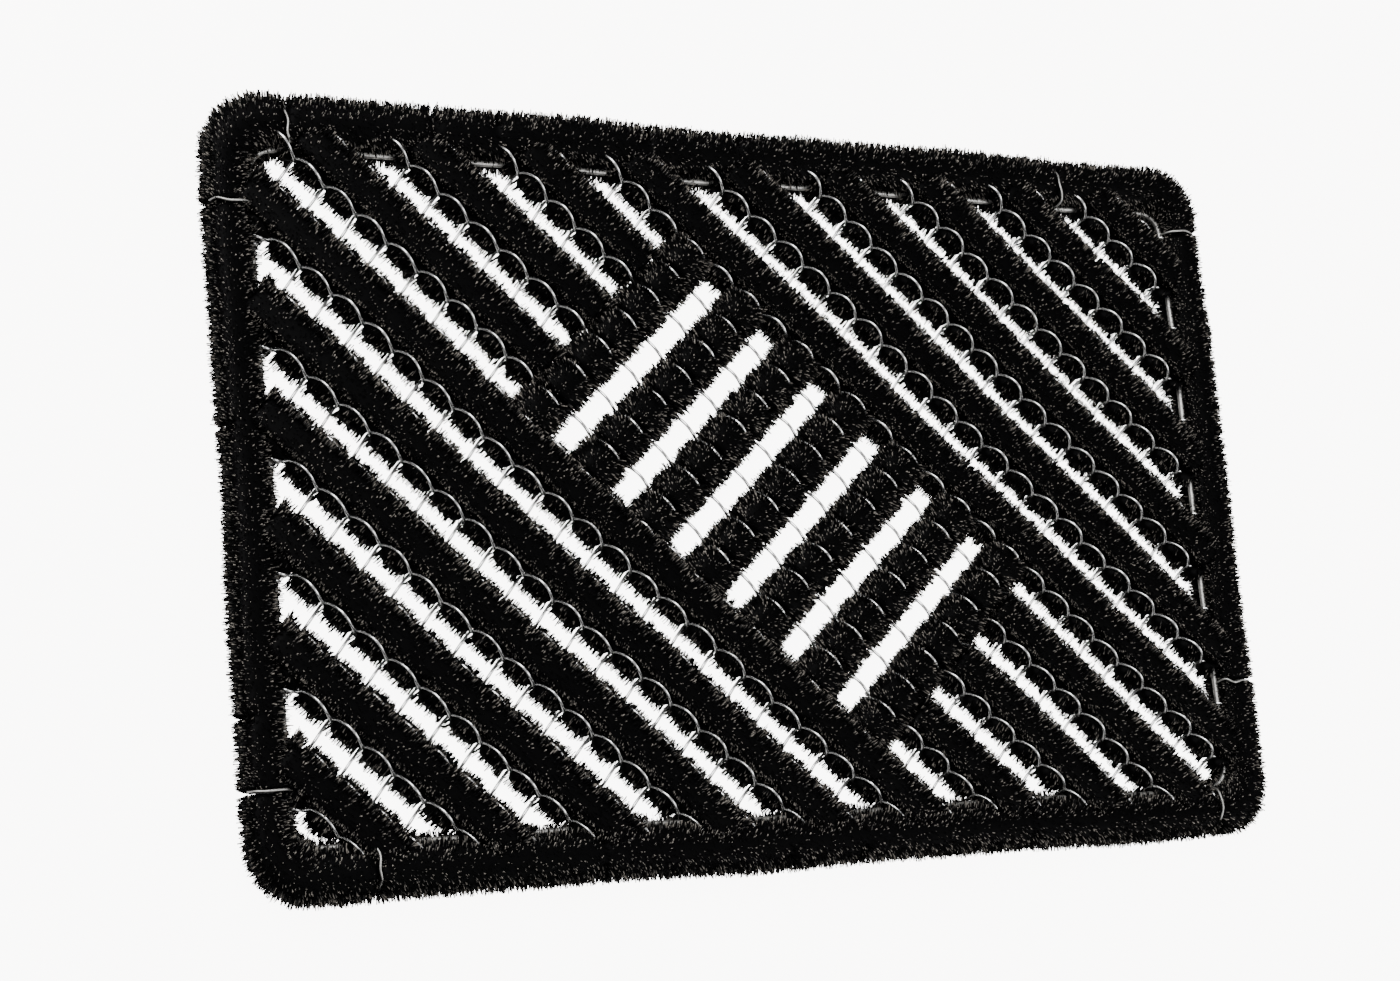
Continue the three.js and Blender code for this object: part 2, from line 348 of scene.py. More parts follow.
def spline(points, steps):
    """A smooth line through the points, and straight past both ends."""
    points = np.asarray(points, float)
    padded = np.concatenate([[2 * points[0] - points[1]], points, [2 * points[-1] - points[-2]]])
    line = []
    for p0, p1, p2, p3 in zip(padded, padded[1:], padded[2:], padded[3:]):
        for t in np.arange(steps) / steps:
            line.append(
                0.5
                * (
                    2 * p1
                    + (p2 - p0) * t
                    + (2 * p0 - 5 * p1 + 4 * p2 - p3) * t * t
                    + (3 * p1 - p0 - 3 * p2 + p3) * t**3
                )
            )
    line.append(points[-1])
    return np.array(line)


def leg_place(row, leg):
    """Whether a leg is on the upper side, whether it is in the centre panel, and the cells
    (across and along the diagonal strips) that its middle lies in."""
    x, y = leg + 0.5, (COIL_COUNT - 1) / 2 - row
    i, j = (x + y) / 2, (x - y) / 2
    return (leg + row) % 2 == 0, abs(i) < PANEL_I and abs(j) < PANEL_J, i, j


def leg_height(row, leg):
    """How far a leg rises or dips: less where it crosses a gap with no bristle in it."""
    if row == COIL_COUNT - 1:
        return LAST_ROW_HEIGHT
    above, in_panel, i, j = leg_place(row, leg)
    if in_panel:
        slack = above and round(j) % 2 == 1
    else:
        slack = not above and round(i) % 2 == 1
    return SLACK_HEIGHT if slack else LEG_HEIGHT


def leg_bow(row, leg):
    """How far a leg bows sideways where it crosses a gap or one of the panel's strips."""
    above, in_panel, _, _ = leg_place(row, leg)
    if in_panel:
        return PANEL_BOW if above else 0.0
    return 0.0 if above else GAP_BOW


def coil_line(row):
    """The middle line of one coil: nearly straight legs in plan, each an arch up or down."""
    axis_y = ((COIL_COUNT - 1) / 2 - row) * ROW_PITCH
    crest = 1 if row % 2 == 0 else -1
    share = np.arange(STEPS_PER_LEG) / STEPS_PER_LEG
    arch = np.sin(math.pi * share)
    swing = STRAIGHT_SHARE * (1 - 2 * share) + (1 - STRAIGHT_SHARE) * np.cos(math.pi * share)
    across, heights, along = [], [], []
    for leg in range(-HALF_COLUMNS, HALF_COLUMNS):
        start = crest * (1 if leg % 2 == 0 else -1)
        uneven = 1 + HEIGHT_SPREAD * np.clip(rng.standard_normal(), -MOST_UNEVEN, MOST_UNEVEN)
        bowed = (BOW_SPREAD * rng.standard_normal() + leg_bow(row, leg)) * arch
        heights.append(start * leg_height(row, leg) * uneven * arch)
        along.append((leg + share) * HALF_PITCH + bowed * BOW_ALONG)
        across.append(start * LEG_REACH * swing + start * bowed * BOW_ACROSS)
    last = crest * (1 if HALF_COLUMNS % 2 == 0 else -1)
    across = np.concatenate(across + [[last * LEG_REACH]])
    heights = np.concatenate(heights + [[0.0]])
    along = np.concatenate(along + [[HALF_COLUMNS * HALF_PITCH]])
    padded = np.concatenate([across[2:0:-1], across, across[-2:-4:-1]])
    across = np.convolve(padded, BEND_SMOOTHING, "valid")
    return axis_y, crest, np.stack([along, axis_y + across, heights], -1)


def hook(end, axis_y, crest, body_point):
    """From the coil's last bend, round the frame rod and back. Each bend is so far out from
    the rod's middle line, so far from the coil's axis, and so high."""
    reach = ROD_RADIUS + WIRE_RADIUS + HOOK_CLEARANCE
    bends = [
        (-3.2, 6.9, 3.6),
        (0.3, 5.8, reach),
        (reach, 5.0, 0.0),
        (0.3, 4.3, -reach),
        (-2.4, 3.8, -1.4),
    ]
    return [body_point] + [
        (end * (ROD_X + out), axis_y + crest * aside, end * crest * height)
        for out, aside, height in bends
    ]


def build_coil(row):
    axis_y, crest, body = coil_line(row)
    if 0 < row < COIL_COUNT - 1:
        left = spline(hook(-1, axis_y, crest, body[0]), HOOK_STEPS)[1:]
        right = spline(hook(1, axis_y, crest, body[-1]), HOOK_STEPS)[1:]
        line = np.concatenate([left[::-1], body, right])
    else:
        left = body[0] + np.array([-TAIL_OUT, -crest * TAIL_BACK, -crest * TAIL_RISE])
        right = body[-1] + np.array([TAIL_OUT, -crest * TAIL_BACK, crest * TAIL_RISE])
        line = np.concatenate([[left], body, [right]])
    shell = Shell()
    tube(shell, line, WIRE_RADIUS, WIRE_SIDES)
    name = f"{row + 1:02d}"
    piece = shell.build(f"wire_coil_{name}", wire_steel)
    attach(piece, "root")
    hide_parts(f"coil_{name}")


for coil_row in range(COIL_COUNT):
    build_coil(coil_row)


def rounded_path(half_x, half_y, radius, steps):
    """Points round a rounded rectangle, anticlockwise from the right side's middle."""
    points = []
    corners = [
        (half_x - radius, half_y - radius, 0),
        (-half_x + radius, half_y - radius, 90),
        (-half_x + radius, -half_y + radius, 180),
        (half_x - radius, -half_y + radius, 270),
    ]
    for x, y, start in corners:
        for turn in np.radians(np.linspace(start, start + 90, steps)):
            points.append((x + radius * math.cos(turn), y + radius * math.sin(turn), 0.0))
    points = np.array(points)
    filled = []
    for here, there in zip(points, np.roll(points, -1, 0)):
        pieces = max(1, int(np.linalg.norm(there - here) // LONGEST_ROD_STEP))
        filled += [here + (there - here) * k / pieces for k in range(pieces)]
    return np.array(filled)


# ---------------------------------------------------------------- bristles

# One bristle: its half thickness at the root and the tip, how much lower its tone is at the root,
# which keeps a painted glint to the tip end, and the share of bristles with a painted glint
BRISTLE_ROOT = 0.33
BRISTLE_TIP = 0.30
THINNEST = 0.8
THICKNESS_RANGE = 0.4
GLINT_AT_ROOT = 0.6
GLINT_SHARE = 0.26

# Bristles are drawn together in clumps, and a clump shares part of its length
CLUMP = 1.5
CLUMP_PULL = 0.35
CLUMP_STRETCH = 0.036
OWN_STRETCH = 0.03
ROOT_SPREAD = 0.06


def add_bristles(shell, roots, tips, shades):
    """One slim four-sided blade for each bristle: an edge at the root and one at the tip."""
    count = len(roots)
    axis = tips - roots
    axis /= np.linalg.norm(axis, axis=1, keepdims=True)
    reference = np.where(np.abs(axis[:, 2:]) < 0.9, UP, RISE)
    first = np.cross(axis, reference)
    first /= np.linalg.norm(first, axis=1, keepdims=True)
    second = np.cross(axis, first)
    turn = (rng.random(count) * math.pi)[:, None]
    thickness = (THINNEST + THICKNESS_RANGE * rng.random(count))[:, None]
    wide = np.cos(turn) * first + np.sin(turn) * second
    deep = np.cos(turn) * second - np.sin(turn) * first
    root_edge, tip_edge = wide * thickness * BRISTLE_ROOT, deep * thickness * BRISTLE_TIP
    points = np.stack([roots + root_edge, roots - root_edge, tips + tip_edge, tips - tip_edge], 1)
    base = np.arange(count)[:, None] * 4
    faces = np.concatenate([base + c for c in ([[0, 1, 2]], [[1, 0, 3]], [[2, 3, 0]], [[3, 2, 1]])])
    # The root's tone is lower than the tip's, so a painted glint shows at the tip end of the blade.
    shade = np.stack([shades * GLINT_AT_ROOT, shades * GLINT_AT_ROOT, shades, shades], 1)
    shell.add(points, [faces], shade)


def clumped(values, pitch, pull):
    """Values drawn some of the way together, in groups one pitch wide, and their group."""
    group = np.floor(values / pitch)
    return values + pull * ((group + 0.5) * pitch - values), group.astype(np.int64)


# Each clump takes its length from this table, at a place worked out from its groups' numbers
LENGTH_TABLE = rng.standard_normal(4096)
TABLE_STRIDES = (37, 1013, 331)


def stretches(count, *groups):
    """How long each bristle is beside the mean: its own share, and its clump's."""
    key = sum(group * stride for group, stride in zip(groups, TABLE_STRIDES))
    clump_share = CLUMP_STRETCH * LENGTH_TABLE[key % len(LENGTH_TABLE)]
    return 1 + clump_share + OWN_STRETCH * rng.standard_normal(count)


def random_shades(count):
    """Mostly black, and here and there a tip with a painted glint, a highlight painted into its
    colour.
    """
    glinting = rng.random(count) < GLINT_SHARE
    return np.where(
        glinting,
        GLINT_FROM + (1 - GLINT_FROM) * rng.random(count),
        DULL_TO * rng.random(count),
    )


def root_shares(count, mean):
    """How far out each root lies, as a share of the tip's distance."""
    return mean + ROOT_SPREAD * rng.standard_normal(count)


def superellipse(cosine, sine, half_width, half_height, power):
    return (
        half_width * np.sign(cosine) * np.abs(cosine) ** (2 / power),
        half_height * np.sign(sine) * np.abs(sine) ** (2 / power),
    )


# Brush strips: the half width of their rounded section, how much narrower it is next to the
# wires' knots, and its power, which is higher there. Tips are scattered along the strip, and
# roots lie nearer to the middle of their cell than the tips do.
STRIP_HALF_WIDTH = 16.2
PANEL_HALF_WIDTH = 14.3
BAR_NOTCH = 4.0
TUFT_NOTCH = 1.2
SECTION_GIRTH = 13.0
FULLNESS = 1.6
FULL_POWER = 2.4
KNOT_POWER = 1.1
STRIP_ROOT_SHARE = 0.64
BAR_SCATTER = 0.5
TUFT_SCATTER = 0.25
BAR_ROOTS_ALONG = 0.97
TUFT_ROOTS_ALONG = 0.9
OUTWARD_BRISTLES = 640
INWARD_BRISTLES = 360

# Bar side: bristle within OVER_ARCS of the middle stands over the side arcs, and bristle
# further out passes through them with WIRE_ROOM round each wire, where an arch over
# STEEP_ARCH stops it. On one side the bristle next to the knots is drawn in to bare them.
ARC_SIDE = CELL / 2
OVER_ARCS = 10.6
WIRE_ROOM = 1.25
STEEP_ARCH = 5
TRIM_SPREAD = 0.9
STOPPED_SPREAD = 0.3
TOP_LEAN = 0.5
BARE_OUTSIDE = -9.4
BARE_TO = -9.3
BARE_SPREAD = 0.9
BARE_ARCH = 6

# The brow: bristle that stands over the wires on both edges of the bar side
BROW_SHARE = 0.26
BROW_FROM = 8.2
BROW_WIDTH = 2.0
BROW_LEAN = 0.6
BROW_TRIM = 0.8
BROW_INWARD = 3.4
BROW_DEPTH = 3.6

# Tuft side: parted at each wire that crosses
TUFT_HALF = 9.95
TUFT_SPREAD = 0.8
TUFT_ROUNDING = 0.07


def section_tips(count, half_width, along_half, notch):
    """Tips on the rounded upper half of a strip's section, narrower next to the knots."""
    a, group_a = clumped((rng.random(count) * 2 - 1) * along_half, CLUMP, CLUMP_PULL)
    angle, group_angle = clumped(math.pi * rng.random(count), CLUMP / SECTION_GIRTH, CLUMP_PULL)
    narrow = 1 - np.clip(FULLNESS * np.cos(math.pi * a / CELL), 0, 1)
    b, h = superellipse(
        np.cos(angle),
        np.sin(angle),
        half_width - notch * narrow,
        HALF_HEIGHT,
        FULL_POWER + KNOT_POWER * narrow,
    )
    strip_key = np.full(count, rng.integers(len(LENGTH_TABLE)))
    stretch = stretches(count, group_a, group_angle, strip_key)
    return a, b * stretch, h * stretch


def bar_side(centres, half_width, per_cell):
    """Roots and tips of the bristles between the side arcs and over them, or out through
    them, in the cells at these places along a strip."""
    count = len(centres) * per_cell
    place = np.repeat(centres, per_cell)
    a, b, h = section_tips(count, half_width, CELL / 2, BAR_NOTCH)
    arch = LEG_HEIGHT * np.cos(math.pi * np.clip(a / CELL, -0.5, 0.5))
    over = np.abs(b) < OVER_ARCS
    h = np.where(over, np.maximum(h, HALF_HEIGHT - TRIM_SPREAD * rng.random(count)), h)
    crossing = h * ARC_SIDE / np.maximum(np.abs(b), 1.0)
    steep = arch > STEEP_ARCH
    clear = np.where(steep, arch - WIRE_ROOM, arch + WIRE_ROOM)
    blocked = ~over & ((np.abs(crossing - arch) < WIRE_ROOM) | (steep & (crossing > arch)))
    stopped = h * clear / np.maximum(crossing, 0.1) * (1 - STOPPED_SPREAD * rng.random(count))
    h = np.where(blocked, stopped, h)
    b = np.where(over, b + TOP_LEAN, b)
    bare = (b < BARE_OUTSIDE) & (arch < BARE_ARCH)
    b = np.where(bare, BARE_TO + BARE_SPREAD * rng.random(count), b)
    tips = np.stack([place + a + BAR_SCATTER * rng.standard_normal(count), b, h], -1)
    share = root_shares(count, STRIP_ROOT_SHARE)
    roots = np.stack([place + a * BAR_ROOTS_ALONG, b * share, h * share], -1)
    brow = rng.random(count) < BROW_SHARE
    b = np.sign(b) * (BROW_FROM + BROW_WIDTH * rng.random(count)) + BROW_LEAN
    h = HALF_HEIGHT - BROW_TRIM * rng.random(count)
    brow_tips = np.stack([place + (rng.random(count) - 0.5) * CELL, b, h], -1)
    downward = np.stack([0 * b, np.sign(b) * BROW_INWARD, BROW_DEPTH + 0 * b], -1)
    tips = np.where(brow[:, None], brow_tips, tips)
    roots = np.where(brow[:, None], brow_tips - downward, roots)
    return roots, tips


def tuft_side(centres, half_width, per_cell):
    """Roots and tips of the bristles on the other side, parted at each wire that crosses."""
    count = len(centres) * per_cell
    place = np.repeat(centres, per_cell)
    a, b, h = section_tips(count, half_width + TUFT_SPREAD, TUFT_HALF, TUFT_NOTCH)
    a = a * (1 - TUFT_ROUNDING * (b / half_width) ** 2)
    tips = np.stack([place + a + TUFT_SCATTER * rng.standard_normal(count), b, -h], -1)
    share = root_shares(count, STRIP_ROOT_SHARE)
    roots = np.stack([place + a * TUFT_ROOTS_ALONG, b * share, -h * share], -1)
    return roots, tips


def strip_bristles(centres, half_width, above, below):
    """Local root and tip points of a strip's bristles: the bar side is up, the tufts below."""
    roots_above, tips_above = bar_side(centres, half_width, above)
    roots_below, tips_below = tuft_side(centres, half_width, below)
    return np.concatenate([roots_above, roots_below]), np.concatenate([tips_above, tips_below])


# The dark hearts that the bristle stands on: half widths, heights, and how they end
TUFT_HEART_HALF = 9.35
TUFT_HEART_WIDTH = 0.91
TUFT_HEART_TOP = 8.2
TUFT_HEART_BOTTOM = 9.6
TUFT_HEART_POWER = 2.6
BAR_HEART_WIDTH = 9.2
BAR_HEART_TOP = 9.2
BAR_HEART_BOTTOM = 2.0
BAR_HEART_POWER = 4.5
RING_SIDES = 16
HEART_END_STEPS = np.array([0.0, 0.6, 2.0])
HEART_END_SCALES = np.array([0.5, 0.75, 0.95])
HEART_MIDDLE_STEPS = 6
HEART_MIDDLE_FROM = 5
HEART_MARGIN = 0.8


def closed_bar(stations, sections):
    """A closed solid through one ring of points (b, height) at each place along a strip."""
    count, sides = sections.shape[:2]
    points = np.zeros((count, sides, 3))
    points[..., 0] = np.asarray(stations)[:, None]
    points[..., 1:] = sections
    row = np.arange(count - 1)[:, None] * sides
    k = np.arange(sides)[None]
    n = (k + 1) % sides
    quads = np.stack([row + k, row + sides + k, row + sides + n, row + n], -1).reshape(-1, 4)
    return points, [quads, k, k[:, ::-1] + (count - 1) * sides]


def ring(half_width, top, bottom, power):
    """One rounded section of a heart, with its own height above and below the mesh."""
    angles = (np.arange(RING_SIDES) + 0.5) * 2 * math.pi / RING_SIDES
    b, unit = superellipse(np.cos(angles), np.sin(angles), half_width, 1.0, power)
    return np.stack([b, np.where(unit > 0, unit * top, unit * bottom)], -1)


def tuft_heart(half_width):
    """The dark heart of one cell: a block below, and above it a swelling under the side arcs."""
    stations = np.array([-0.985, -0.93, -0.75, -0.4, 0.0, 0.4, 0.75, 0.93, 0.985])
    scale = (1 - np.abs(stations) ** 5) ** (1 / 5)
    arch = np.cos(math.pi * stations * TUFT_HEART_HALF / CELL) ** 0.9 / scale
    section = ring(
        TUFT_HEART_WIDTH * half_width, TUFT_HEART_TOP, TUFT_HEART_BOTTOM, TUFT_HEART_POWER
    )
    sections = scale[:, None, None] * section[None]
    sections[..., 1] *= np.where(sections[..., 1] > 0, arch[:, None], 1.0)
    return closed_bar(stations * TUFT_HEART_HALF, sections)


def bar_heart(low, high):
    """The dark heart between the side arcs, all along a strip."""
    middle = np.linspace(low + HEART_MIDDLE_FROM, high - HEART_MIDDLE_FROM, HEART_MIDDLE_STEPS)
    stations = np.concatenate([low + HEART_END_STEPS, middle, high - HEART_END_STEPS[::-1]])
    scale = np.concatenate(
        [HEART_END_SCALES, np.ones(HEART_MIDDLE_STEPS), HEART_END_SCALES[::-1]]
    )
    section = ring(BAR_HEART_WIDTH, BAR_HEART_TOP, BAR_HEART_BOTTOM, BAR_HEART_POWER)
    return closed_bar(stations, scale[:, None, None] * section[None])


def place_strip(along, across, offset, flip, local):
    """From a strip's own along, across and height to the mat's X, Y and Z."""
    return (
        local[..., 0:1] * along
        + (local[..., 1:2] + offset * CELL) * across
        + flip * local[..., 2:3] * UP
    )


def add_heart(shell, heart, along, across, offset, flip):
    points, faces = heart
    if flip < 0:
        faces = [face[..., ::-1] for face in faces]
    shell.add(place_strip(along, across, offset, flip, points), faces, 0.0)


# Where the strips stop: at the border, how far into it, and at the centre panel's edges
EDGE_X = ROD_X + 6.0
EDGE_Y = ROD_Y + 10.0
INTO_BORDER = 0.4
PANEL_REACH = 6 + 12.0 / CELL
CROSS_REACH = 4 - 11.0 / CELL
END_RAGGEDNESS = 1.0
ROOTS_INSIDE = 1.5
SHORTEST_HEART = 6


def build_strip(name, node_name, along, across, offset, flip, first, last, half_width, free_ends):
    """first and last are the strip's ends, counted in cells. free_ends says which of them stop
    short of the border. A flip of -1 turns the strip over, with its bar side down."""
    shell = Shell()
    cells = np.arange(math.ceil(first - 0.5 + 1e-6), math.floor(last + 0.5 - 1e-6) + 1)
    low = first * CELL if free_ends[0] else (first - INTO_BORDER) * CELL
    high = last * CELL if free_ends[1] else (last + INTO_BORDER) * CELL
    if not free_ends[0]:
        cells = np.concatenate([[cells[0] - 1], cells])
    if not free_ends[1]:
        cells = np.concatenate([cells, [cells[-1] + 1]])
    above, below = (OUTWARD_BRISTLES, INWARD_BRISTLES)[:: flip]
    roots, tips = strip_bristles(cells * CELL, half_width, above, below)
    shades = random_shades(len(roots))
    inside = (tips[:, 0] > low - END_RAGGEDNESS) & (tips[:, 0] < high + END_RAGGEDNESS)
    roots[:, 0] = np.clip(roots[:, 0], low + ROOTS_INSIDE, high - ROOTS_INSIDE)
    roots = place_strip(along, across, offset, flip, roots)
    tips = place_strip(along, across, offset, flip, tips)
    inside &= (np.abs(tips[:, 0]) < EDGE_X) & (np.abs(tips[:, 1]) < EDGE_Y)
    add_bristles(shell, roots[inside], tips[inside], shades[inside])
    heart_low, heart_high = low + HEART_MARGIN, high - HEART_MARGIN
    add_heart(shell, bar_heart(heart_low, heart_high), along, across, offset, flip)
    points, faces = tuft_heart(half_width)
    for cell in cells:
        moved = points.copy()
        moved[..., 0] = np.clip(moved[..., 0] + cell * CELL, heart_low, heart_high)
        if np.ptp(moved[..., 0]) > SHORTEST_HEART:
            add_heart(shell, (moved, faces), along, across, offset, flip)
    piece = shell.build(name, bristle)
    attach(piece, "root")
    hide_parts(node_name)


for number, strip_row in enumerate(range(-14, 15, 2), 1):
    first_end = max(-HALF_COLUMNS - strip_row, strip_row - CELLS_Y) - 0.5
    last_end = min(HALF_COLUMNS - strip_row, strip_row + CELLS_Y) + 0.5
    if abs(strip_row) > PANEL_I:
        lengths = [("", first_end, last_end, (False, False))]
    else:
        lengths = [
            ("_far", first_end, -PANEL_REACH, (False, True)),
            ("_near", PANEL_REACH, last_end, (True, False)),
        ]
    for ending, low_end, high_end, free in lengths:
        label = f"diagonal_{number:02d}{ending}"
        build_strip(
            f"strip_{label}", f"brush_{label}",
            FALL, RISE, strip_row, 1, low_end, high_end, STRIP_HALF_WIDTH, free,
        )

for number, strip_row in enumerate(range(-6, 7, 2), 1):
    build_strip(
        f"strip_cross_{number}", f"brush_cross_{number}",
        RISE, -FALL, -strip_row, -1, -CROSS_REACH, CROSS_REACH, PANEL_HALF_WIDTH, (True, True),
    )

# ---------------------------------------------------------------- brush border

# Distances round the border run along the rod's straight sides, and round each corner along
# an arc outside the rod, so that the bristle is as dense there as on the sides
STRAIGHT_X = ROD_X - ROD_CORNER
STRAIGHT_Y = ROD_Y - ROD_CORNER
FAN_RADIUS = ROD_CORNER + 20.0
QUARTER = FAN_RADIUS * math.pi / 2
SIDE_STARTS = np.cumsum([0] + [2 * STRAIGHT_Y, QUARTER, 2 * STRAIGHT_X, QUARTER] * 2)
WHOLE = SIDE_STARTS[-1]


def border_place(t):
    """Where a distance t round the border lies: a point on the rod and the outward
    direction there. It starts at the right side's near end and runs anticlockwise."""
    t = np.mod(t, WHOLE)
    part = np.searchsorted(SIDE_STARTS, t, "right") - 1
    part = np.clip(part, 0, len(SIDE_STARTS) - 2)
    into = t - SIDE_STARTS[part]
    side = part // 2
    straight = part % 2 == 0
    turn = np.radians(90.0) * side + np.where(straight, 0.0, into / FAN_RADIUS)
    outward = np.stack([np.cos(turn), np.sin(turn), np.zeros_like(turn)], -1)
    corner_x = np.array([STRAIGHT_X, -STRAIGHT_X, -STRAIGHT_X, STRAIGHT_X])[side]
    corner_y = np.array([STRAIGHT_Y, STRAIGHT_Y, -STRAIGHT_Y, -STRAIGHT_Y])[side]
    line_x = np.select(
        [side == 0, side == 1, side == 2, side == 3],
        [corner_x, STRAIGHT_X - into, corner_x, into - STRAIGHT_X],
    )
    line_y = np.select(
        [side == 0, side == 1, side == 2, side == 3],
        [into - STRAIGHT_Y, corner_y, STRAIGHT_Y - into, corner_y],
    )
    centre_x = np.where(straight, line_x, corner_x)
    centre_y = np.where(straight, line_y, corner_y)
    centre = np.stack([centre_x, centre_y, np.zeros_like(turn)], -1)
    return centre + outward * ROD_CORNER, outward


FARTHEST_REACH = 60.0
HALVINGS = 24


def outer_reach(start, outward):
    """How far it is from the rod to the mat's outer edge, in the outward direction."""
    low, high = np.zeros(len(start)), np.full(len(start), FARTHEST_REACH)
    for _ in range(HALVINGS):
        middle = (low + high) / 2
        point = np.abs(start + outward * middle[:, None])
        over_x = point[:, 0] - (OUTER_X - OUTER_CORNER)
        over_y = point[:, 1] - (OUTER_Y - OUTER_CORNER)
        distance = np.hypot(np.maximum(over_x, 0), np.maximum(over_y, 0)) + np.minimum(
            np.maximum(over_x, over_y), 0
        )
        inside = distance < OUTER_CORNER
        low, high = np.where(inside, middle, low), np.where(inside, high, middle)
    return (low + high) / 2


def along_side(side, place):
    """The distance round the border of a place on one side."""
    start = SIDE_STARTS[2 * side]
    half = STRAIGHT_Y if side % 2 == 0 else STRAIGHT_X
    sign = 1 if side in (0, 3) else -1
    return start + np.clip(half + sign * place, 0, 2 * half)


# Partings on each side, by their X or Y: the cuts go through the border and end a bundle,
# and the nicks only part the bristle
RIGHT, FAR, LEFT, NEAR = range(4)
CUTS = [(RIGHT, -110.0), (RIGHT, 158.3), (FAR, 200.0), (FAR, -258.0),
        (LEFT, 141.7), (LEFT, -145.0), (NEAR, -236.7), (NEAR, 263.3)]
NICKS = [(RIGHT, 35.0),
         (FAR, -180.7), (FAR, -146.7), (FAR, -61.7), (FAR, -10.0), (FAR, 65.0), (FAR, 155.0),
         (LEFT, -110.0), (LEFT, 31.7),
         (NEAR, -120.0), (NEAR, -16.7), (NEAR, 28.3), (NEAR, 136.7)]
BUNDLES = ["right", "corner_far_right", "far", "corner_far_left",
           "left", "corner_near_left", "near", "corner_near_right"]
CUT_WIDTH = 2.0
NICK_WIDTH = 1.6
GROOVE_SPREAD = 7
HEART_GROOVE_SPREAD = 3.2
cut_places = np.array([along_side(*cut) for cut in CUTS])
nick_places = np.array([along_side(*nick) for nick in NICKS])
groove_places = np.concatenate([cut_places, nick_places])
groove_widths = np.array([CUT_WIDTH] * len(CUTS) + [NICK_WIDTH] * len(NICKS))


def distance_from(place, t):
    """How far round the border t lies from a place, the shorter way."""
    return np.mod(t - place + WHOLE / 2, WHOLE) - WHOLE / 2


def part_at_grooves(t, share):
    """Pushes places aside from each parting, more towards the outer edge."""
    moved = t.copy()
    for place, width in zip(groove_places, groove_widths):
        away = distance_from(place, t)
        push = width * share * (1 - np.abs(away) / GROOVE_SPREAD)
        moved = np.where(np.abs(away) < GROOVE_SPREAD, moved + np.sign(away) * push, moved)
    return moved


# The border's rounded section starts inside the rod, further in below than above, and above
# it swells from its height next to the mesh to the whole height
BORDER_BRISTLES_PER_MM = 62
SECTION_POWER = 3.2
INSIDE_ABOVE = -0.6
INSIDE_BELOW = -3.8
SWELL_FROM = 5.0
SWELL_LENGTH = 7.0
INNER_HEIGHTS = {RIGHT: 8.4, FAR: 8.4, LEFT: 9.6, NEAR: 11.0}
BORDER_CLUMP = 1.3
BORDER_CLUMP_PULL = 0.4
BORDER_GIRTH = 15.0
BORDER_ROOT_SHARE = 0.68
BORDER_SCATTER = 0.3
BUNDLE_GAP = 0.3
TRIM_INSIDE = 0.9
RAGGED_OUTSIDE = 1.6
RAGGEDNESS = 1.5

# Its dark heart, as shares of the section, and drawn in at the partings
HEART_STEP = 2.5
HEART_SIDES = 24
HEART_GAP = 0.6
HEART_INSIDE = 0.5
HEART_OUTER_SHARE = 0.83
HEART_INNER_SHARE = 0.88
HEART_HEIGHT_SHARE = 0.87
HEART_PULL_IN = 0.45
HEART_PULL_DOWN = 0.12


def side_height(t):
    """The border's height next to the mesh, by the side of the mat it is on."""
    centres = (SIDE_STARTS[[0, 2, 4, 6]] + SIDE_STARTS[[1, 3, 5, 7]]) / 2
    return np.interp(np.mod(t, WHOLE), centres, list(INNER_HEIGHTS.values()), period=WHOLE)


def border_section(cosine, sine, reach, inner_height):
    """Distance outward from the rod, and height, of points on the border's section."""
    inner = np.where(sine > 0, INSIDE_ABOVE, INSIDE_BELOW)
    middle, half = (reach + inner) / 2, (reach - inner) / 2
    distance, height = superellipse(cosine, sine, half, HALF_HEIGHT, SECTION_POWER)
    distance = distance + middle
    blend = np.clip((distance - SWELL_FROM) / SWELL_LENGTH, 0, 1)
    blend = blend * blend * (3 - 2 * blend)
    lowered = height * (inner_height + (HALF_HEIGHT - inner_height) * blend) / HALF_HEIGHT
    return distance, np.where(sine > 0, lowered, height)


def border_bristles(shell, start, length):
    """The bristle of one bundle, parted at the grooves and ragged at the outer edge."""
    count = int(length * BORDER_BRISTLES_PER_MM)
    t = start + BUNDLE_GAP + rng.random(count) * (length - 2 * BUNDLE_GAP)
    t, group_t = clumped(t, BORDER_CLUMP, BORDER_CLUMP_PULL)
    angle = 2 * math.pi * rng.random(count)
    angle, group_angle = clumped(angle, CLUMP / BORDER_GIRTH, CLUMP_PULL)
    on_rod, outward = border_place(t)
    reach = outer_reach(on_rod, outward) - TRIM_INSIDE
    distance, height = border_section(np.cos(angle), np.sin(angle), reach, side_height(t))
    centre = reach / 2
    stretch = stretches(count, group_t, group_angle)
    share = np.clip(distance / reach, 0, 1)
    tip_t = part_at_grooves(t + BORDER_SCATTER * rng.standard_normal(count), share)
    tip_rod, tip_outward = border_place(tip_t)
    ragged = centre + (distance - centre) * (1 + RAGGEDNESS * (stretch - 1))
    tip_distance = np.minimum(ragged, reach + RAGGED_OUTSIDE)
    tips = tip_rod + tip_outward * tip_distance[:, None] + UP * (height * stretch)[:, None]
    fraction = root_shares(count, BORDER_ROOT_SHARE)
    root_distance = centre + (distance - centre) * fraction
    roots = on_rod + outward * root_distance[:, None] + UP * (height * fraction)[:, None]
    add_bristles(shell, roots, tips, random_shades(count))


